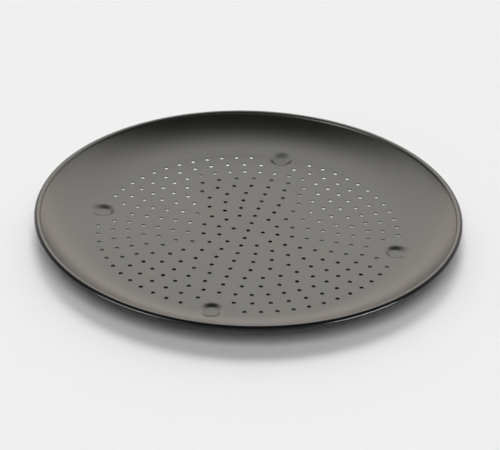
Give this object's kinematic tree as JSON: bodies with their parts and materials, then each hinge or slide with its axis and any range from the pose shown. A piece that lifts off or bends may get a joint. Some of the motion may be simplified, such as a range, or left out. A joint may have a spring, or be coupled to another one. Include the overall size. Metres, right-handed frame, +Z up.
{
  "type": "perforated baking pan",
  "caption": "Shallow round baking pan of dark coated steel with a perforated flat base, a flared wall, a rolled rim and pressed feet.",
  "frame": {"origin": "on the table, under the middle of the pan, level with the undersides of the feet", "axes": "+Z up along the pan's axis; +X and +Y each run through the middle of a foot, and -Y is the side nearest the camera in the picture"},
  "size_m": [0.33, 0.33, 0.0214],
  "materials": {
    "coated_steel": "dark warm grey non-stick coat, satin, sprayed and cured on carbon steel sheet",
    "wire_steel": "bare drawn steel wire"
  },
  "bodies": {
    "root": {"pan_body": "coated_steel", "rim_wire": "wire_steel"}
  },
  "joints": []
}
